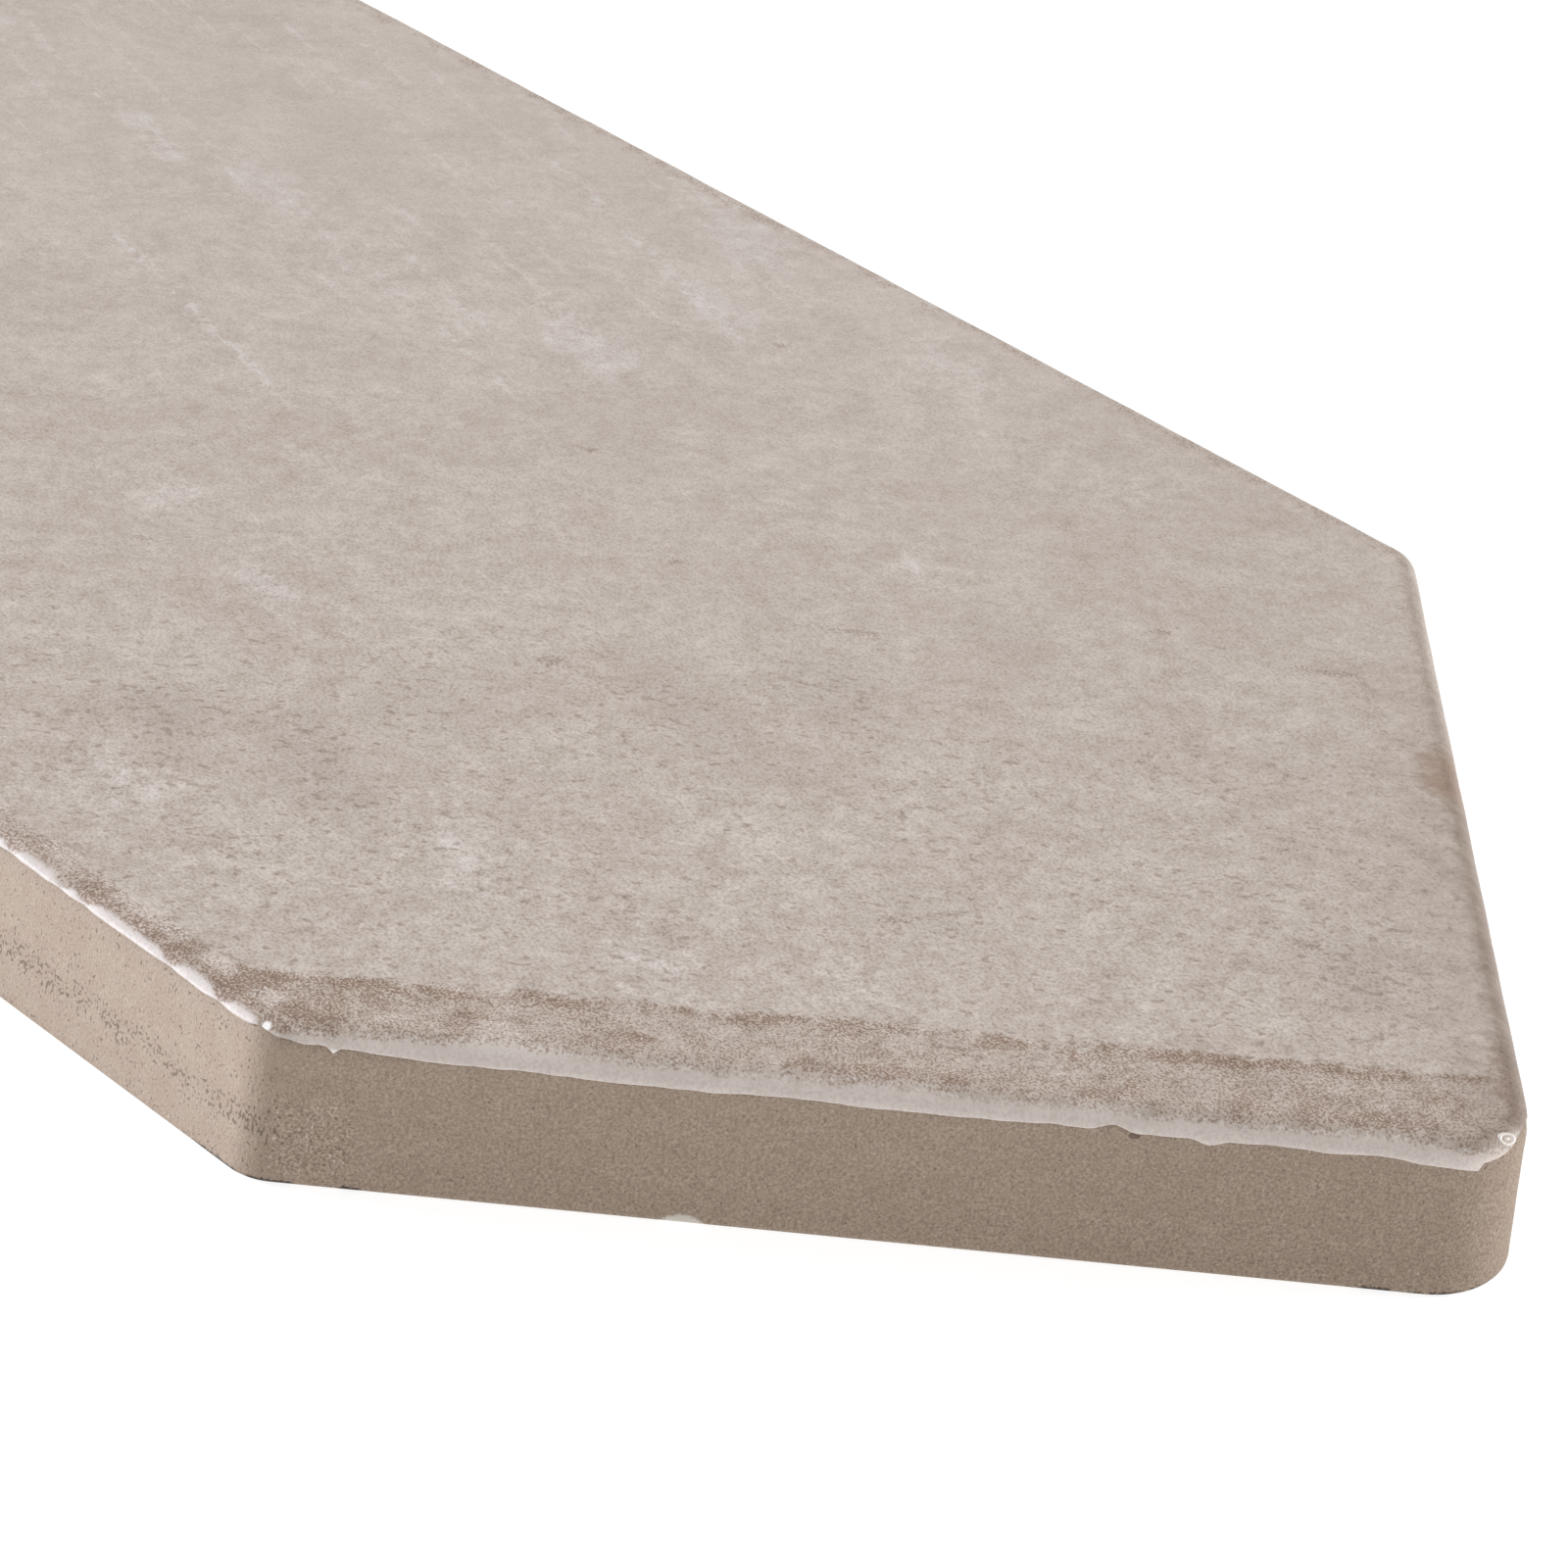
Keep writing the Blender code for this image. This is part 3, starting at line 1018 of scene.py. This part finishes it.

# %% [markdown]
# The face is printed like old stone, and that is colour, apart from a painted sheen. Each layer
# is
# a tint over the ones before it: a warm grey ground, mottled at every size from a centimetre to a
# tenth of a millimetre; a painted sheen that pales the far part of the face; the patches; the
# scratches; flecks and specks; the stain, with painted shade on the rim of the right point; and
# last the lip, where the print stops on the rolled edge and bare white glaze shows, painted a
# little darker on the long sides as shade.

# %% The glaze's finish
def glaze_material():
    glaze = Recipe("satin_glaze")
    here = glaze.place()
    x, y, z = glaze.parts(here)
    slanted = glaze.turned(here, streak_lean)
    by_side = glaze.turned(here, side_angle)
    drawn_out = glaze.vector("MULTIPLY", slanted, (0.9, 1.0, 1.0))
    along_side = glaze.vector("MULTIPLY", by_side, (0.70, 1.0, 1.0))
    up_face = glaze.vector("MULTIPLY", by_side, (0.88, 0.95, 1.0))

    clouds = glaze.cloud(up_face, 7, 1.0) - 0.5
    mottle = glaze.cloud(up_face, 1.9, 3.0, 1.0) - 0.5
    grain = (glaze.cloud(drawn_out, 0.15, 1.0, 0.6) - 0.5).cap(0.09)
    nearness = x * 0.64 - y * 0.76
    strength = (nearness * 0.007 + 0.42).floor_at(0.5).cap(1.05)
    clusters = glaze.ramp(glaze.cloud(here, 1.9, 3.0, 0.65), 0.38, 0.64)

    colour = glaze.tint(glaze.ramp(clouds, -0.16, 0.16), ground_dark, ground_light)
    brushed = glaze.painted("weathering")
    unrest = mottle * 1.5 * strength
    worn = glaze.ramp(brushed + unrest, 0.05, 1.0)
    settled = glaze.ramp(unrest - brushed, 0.05, 1.0)
    # painted sheen: the far part of the face, seen at a glancing angle, is paled
    far_sheen = glaze.ramp(nearness, 55, 20) * 0.10
    colour = glaze.tint(far_sheen, colour, worn_and_sheen_pale)
    colour = glaze.tint(worn * 0.36, colour, worn_and_sheen_pale)
    colour = glaze.tint(settled * 0.28, colour, settled_grey)
    colour = glaze.tint(scratch_mask(glaze, slanted, mottle) * 0.65, colour, worn_and_sheen_pale)

    fleck_noise = glaze.cloud(along_side, 0.40, 1.0)
    _, from_left, from_right = near_point(x, y)
    fleck_zone = glaze.ramp(from_left, 44, 28)
    flecks = fleck_noise + settled * 0.07 + mottle * 0.25 + fleck_zone * 0.05
    flecks = glaze.ramp(flecks, 0.655, 0.80) * (0.35 + fleck_zone * 0.60)
    for speck_x, speck_y, half_length, half_width in specks:
        middle = side_turn @ Vector((speck_x, speck_y))
        reach = oval_distance(glaze, by_side, middle, half_length, half_width)
        flecks = flecks.floor_at(glaze.ramp(reach + grain * 5.0, 1.7, 0.3) * 0.8)
    colour = glaze.tint(flecks * 0.6, colour, fleck_brown)

    density, smear_and_shade, redness = stain_density(glaze, x, y, by_side, mottle, clusters)
    dots = glaze.cloud(here, 0.112, 0.0)
    density = density.cap(1.2)
    ink = glaze.ramp(dots - 0.68 + density * 0.20, -0.09, 0.11) * glaze.ramp(density, 0.0, 0.35)
    colour = glaze.tint(density * 0.24, colour, smear_brown)
    colour = glaze.tint(ink * (0.52 + 0.18 * density), colour, stain_brown)
    smear_and_shade_colour = glaze.tint(redness, smear_and_shade_grey, smear_red)
    colour = glaze.tint((smear_and_shade * (1.0 + grain * 3.0)).cap(1.0), colour, smear_and_shade_colour)

    change = (grain * 1.15 + mottle * 0.95 + 0.01) * strength
    change = change - glaze.ramp(from_right, 26, 5) * 0.055
    colour = glaze.shaded(colour, change, warm_dark)

    by_long_side = glaze.ramp(half_tile - abs(y), 1.7, 1.3)
    border = z - glaze.painted("print_edge") + grain * 1.1 * (1.0 - by_long_side * 0.8)
    lip = glaze.ramp(border, 0.22 - by_long_side * 0.18, -0.10)
    lip_colour = glaze.tint(0.5 + grain * 3.5 + mottle * 2.0, lip_grey, lip_white)
    # painted shade: the lip of the long sides is darkened where the left light falls on it
    lip_colour = glaze.shaded(lip_colour, by_long_side * -0.14)
    colour = glaze.tint(lip, colour, lip_colour)
    for nub_run, height in nub_places:
        station = next(station for station in stations if station.run >= nub_run)
        nub_place = station.at(clay_inset(height * mm) - station.build, height * mm) / mm
        from_nub = glaze.vector("DISTANCE", here, tuple(nub_place), output="Value")
        colour = glaze.tint(glaze.ramp(from_nub, 0.26, 0.12), colour, nub_white)

    roughness = 0.45 + ink * 0.06 + lip * (by_long_side * 0.16 - 0.08)
    relief = glaze.bump(grain, 0.012 * mm)
    return glaze.finish({"Base Color": colour, "Roughness": roughness, "Normal": relief})


satin_glaze = glaze_material()
print("the satin glaze has", len(satin_glaze.node_tree.nodes), "nodes")

# %% [markdown]
# Fired clay is dull and finely sandy. Its colour changes softly over a few millimetres, grains a
# tenth of a millimetre across lighten and darken it, and on the long sides fine pits stand in a
# band where the two halves of the press met; the shade inside the pits is painted as dark
# specks. The sides are also painted darker towards the bed, as shade. The painted contact
# shadow on the lower edge, the pale crumb and the spot under the hem are placed by their run
# along the near edges.

# %% The clay's finish
clay_light = paint(167, 150, 134)
clay_dark = paint(156, 138, 122)
# the dark of the pits, painted shade inside them
pit_shade_brown = paint(88, 72, 60)
grain_pale = paint(205, 194, 182)
# painted contact shadow along the foot of the near edges
contact_shadow_dark = paint(64, 55, 48)
clay_spots = [
    # (run, height, half length, half height in mm, strength, colour)
    (18.05, 0.0, 0.95, 0.58, 0.85, paint(214, 208, 199)),
    (35.98, 6.42, 0.26, 0.15, 0.7, paint(92, 74, 62)),
]
# (run of the middle, half length, half length of the darkest part) of each piece of
# painted contact shadow on the lower edge
contact_shadow_marks = [(1.0, 1.1, 0.8), (4.3, 0.6, 0.3), (-1.3, 1.2, 0.7)]
broken_contact_shadow = (48.9, 3.2, 2.4)


def clay_material():
    clay = Recipe("fired_clay")
    here = clay.place()
    x, y, z = clay.parts(here)
    run, from_left, _ = near_point(x, y)
    near_edge = clay.ramp(from_left.cap(half_tile + y), 1.2, 0.7)
    sand = clay.cloud(here, 0.12, 1.0, 0.6) - 0.5
    lumps = clay.cloud(here, 1.3, 4.0, 0.75) - 0.5
    colour = clay.tint(clay.ramp(lumps, -0.15, 0.15), clay_light, clay_dark)
    seam = clay.ramp(abs(z + lumps * 1.2 - 3.2), 0.7, 0.1)
    colour = clay.tint(seam * 0.25, colour, clay_dark)

    on_long_side = clay.ramp(half_tile - abs(y), 1.6, 0.8)
    pit_place = clay.vector("MULTIPLY", here, (1.0, 1.0, 0.65))
    pit_noise = clay.cloud(pit_place, 0.13, 0.0)
    pit_band = clay.ramp(abs(z + lumps * 1.5 - 2.95), 0.95, 0.4)
    pit_density = on_long_side * (0.35 + pit_band * 0.75 * clay.ramp(lumps, -0.14, 0.0)) + 0.12
    # painted shade: the pinholes show as dark specks, the shade inside them
    pits = clay.ramp(pit_noise + pit_density * 0.20, 0.80, 0.87)

    rough = near_edge * clay.ramp(abs(run - 2.5), 2.3, 1.2)
    rough = rough * clay.ramp(abs(z - 2.3) + lumps * 4, 2.6, 1.0)
    pale_grains = clay.ramp(pit_noise - rough * 0.11, 0.17, 0.11)
    contrast = 1.25 - on_long_side * 0.7 + rough * 0.8
    off_tip = clay.ramp(run, 22, 50) * 0.05 * clay.ramp(run, 53.4, 52.4)
    # painted shade: the sides darken towards the bed and most along their foot
    shade_towards_bed = clay.ramp(z, 3.8, 0.8) * 0.045 + clay.ramp(z, 0.7, 0.2) * 0.06
    change = sand * contrast + lumps * 0.45 - shade_towards_bed - off_tip
    colour = clay.shaded(colour, change, (0.93, 1.01, 1.07))
    colour = clay.tint(pale_grains * 0.65, colour, grain_pale)
    colour = clay.tint(pits * 0.64, colour, pit_shade_brown)

    # painted contact shadow: dark broken lines on the lower edge where the tile meets the floor
    by_bed = near_edge * clay.ramp(z + sand * 0.3, 0.37, 0.26)
    middle, reach, dark_reach = broken_contact_shadow
    contact_shadow_line = clay.ramp(abs(run - middle), reach, dark_reach)
    contact_shadow_line = contact_shadow_line * clay.ramp(lumps, -0.06, 0.02)
    for middle, reach, dark_reach in contact_shadow_marks:
        mark = clay.ramp(abs(run - middle), reach, dark_reach)
        contact_shadow_line = contact_shadow_line.floor_at(mark)
    colour = clay.tint(by_bed * contact_shadow_line * 0.95, colour, contact_shadow_dark)

    for spot_run, height, half_length, half_height, strength, spot_colour in clay_spots:
        reach = clay.maths("POWER", (run - spot_run) / half_length, 2.0)
        reach = reach + clay.maths("POWER", (z - height) / half_height, 2.0)
        spot = near_edge * clay.ramp(reach + sand * 1.2, 1.1, 0.7)
        colour = clay.tint(spot * strength, colour, spot_colour)

    relief = clay.bump(sand, 0.035 * mm)
    return clay.finish({"Base Color": colour, "Roughness": 0.85, "Normal": relief})


sandy_clay = clay_material()
print("the fired clay has", len(sandy_clay.node_tree.nodes), "nodes")

# %% [markdown]
# A blister is a bubble of gas that broke as the glaze melted: a low ring round a small dot, about
# a millimetre long, on the rolled edge of the near point. A bump could suggest it, but its rim
# catches the light from the side, so it is a small turned shape of its own.

# %% The blister of glaze
blister_place = Vector((149.30, 0.12, 7.11)) * mm
blister_section = [
    # (distance from the middle, height above the glaze), in mm
    (0.00, 0.095), (0.08, 0.090), (0.15, 0.050), (0.22, 0.045), (0.29, 0.090),
    (0.35, 0.095), (0.41, 0.050), (0.44, -0.030), (0.40, -0.130), (0.00, -0.130),
]
blister_stretch = (1.18, 0.74)
blister_turn = Matrix.Rotation(math.radians(-24), 3, "Z")
blister_sides = 28


def blister_material():
    blister = Recipe("blister_glaze")
    unrest = blister.cloud(blister.place(), 0.12, 1.0)
    colour = blister.tint(unrest, paint(214, 205, 200), paint(238, 232, 228))
    return blister.finish({"Base Color": colour, "Roughness": 0.3})


def build_blister(material):
    """A burst bubble of glaze on the arris of the near point, as a small ring round a dot."""
    mesh = bmesh.new()
    leaning = Vector((1, 0, 1)).to_track_quat("Z", "Y")
    rings = []
    for radius, height in blister_section[1:-1]:
        ring = []
        for number in range(blister_sides):
            angle = math.tau * number / blister_sides
            reach = radius * (1 + 0.07 * math.sin(2 * angle + 0.6) + 0.04 * math.sin(3 * angle))
            along = reach * math.cos(angle) * blister_stretch[0]
            up = reach * math.sin(angle) * blister_stretch[1]
            spot = blister_turn @ Vector((along, up, height)) * mm
            ring.append(mesh.verts.new(blister_place + leaning @ spot))
        rings.append(ring)
    for upper, shade_towards_bed in zip(rings, rings[1:]):
        join_rings(mesh, upper, shade_towards_bed)
    for ring, (_, height) in ((rings[0], blister_section[0]), (rings[-1], blister_section[-1])):
        middle = mesh.verts.new(blister_place + leaning @ Vector((0, 0, height * mm)))
        for number in range(blister_sides):
            beside = (number + 1) % blister_sides
            mesh.faces.new((middle, ring[number], ring[beside])).smooth = True
    return finish_piece("glaze_blister", mesh, material)


blister_reach = max(radius for radius, _ in blister_section)
print("the blister is about", round(2 * blister_reach * blister_stretch[0], 2), "mm long")

# %% [markdown]
# Now the three pieces are made. Each rides on the tile's body, and together they take the place
# of its one node in the imported model, which is hidden. Each is listed with a slot name, the
# glaze's for the blister, but nothing reads it.

# %% Make the pieces
pieces = [
    (build_glaze(satin_glaze), "glaze"),
    (build_clay(sandy_clay), "clay_body"),
    (build_blister(blister_material()), "glaze"),
]
for piece, slot in pieces:
    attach(piece, "root")
    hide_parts("picket_tile")
print(len(pieces), "pieces ride on the tile's body")

# %% [markdown]
# The floor is a plain, nearly white studio floor. It is a wide round sheet, so that no edge of it
# comes into any view. The photo's floor is so strongly lit that it has no shade at all. More
# lamps could do that, but they would light the tile as well, so the sheet glows softly instead.

# %% Floor
floor_reach = 6.0
floor_sides = 96
floor_glow = 0.87


def build_floor():
    mesh = bmesh.new()
    bmesh.ops.create_circle(mesh, cap_ends=True, radius=floor_reach, segments=floor_sides)
    paper = Recipe("studio_floor")
    unrest = paper.cloud(paper.place(), 400)
    colour = paper.tint(unrest, paint(148, 148, 148), paint(150, 150, 150))
    glow = {"Emission Color": (1.0, 1.0, 1.0, 1.0), "Emission Strength": floor_glow}
    material = paper.finish({"Base Color": colour, "Roughness": 0.9, **glow})
    return finish_piece("studio_floor", mesh, material)


build_floor()
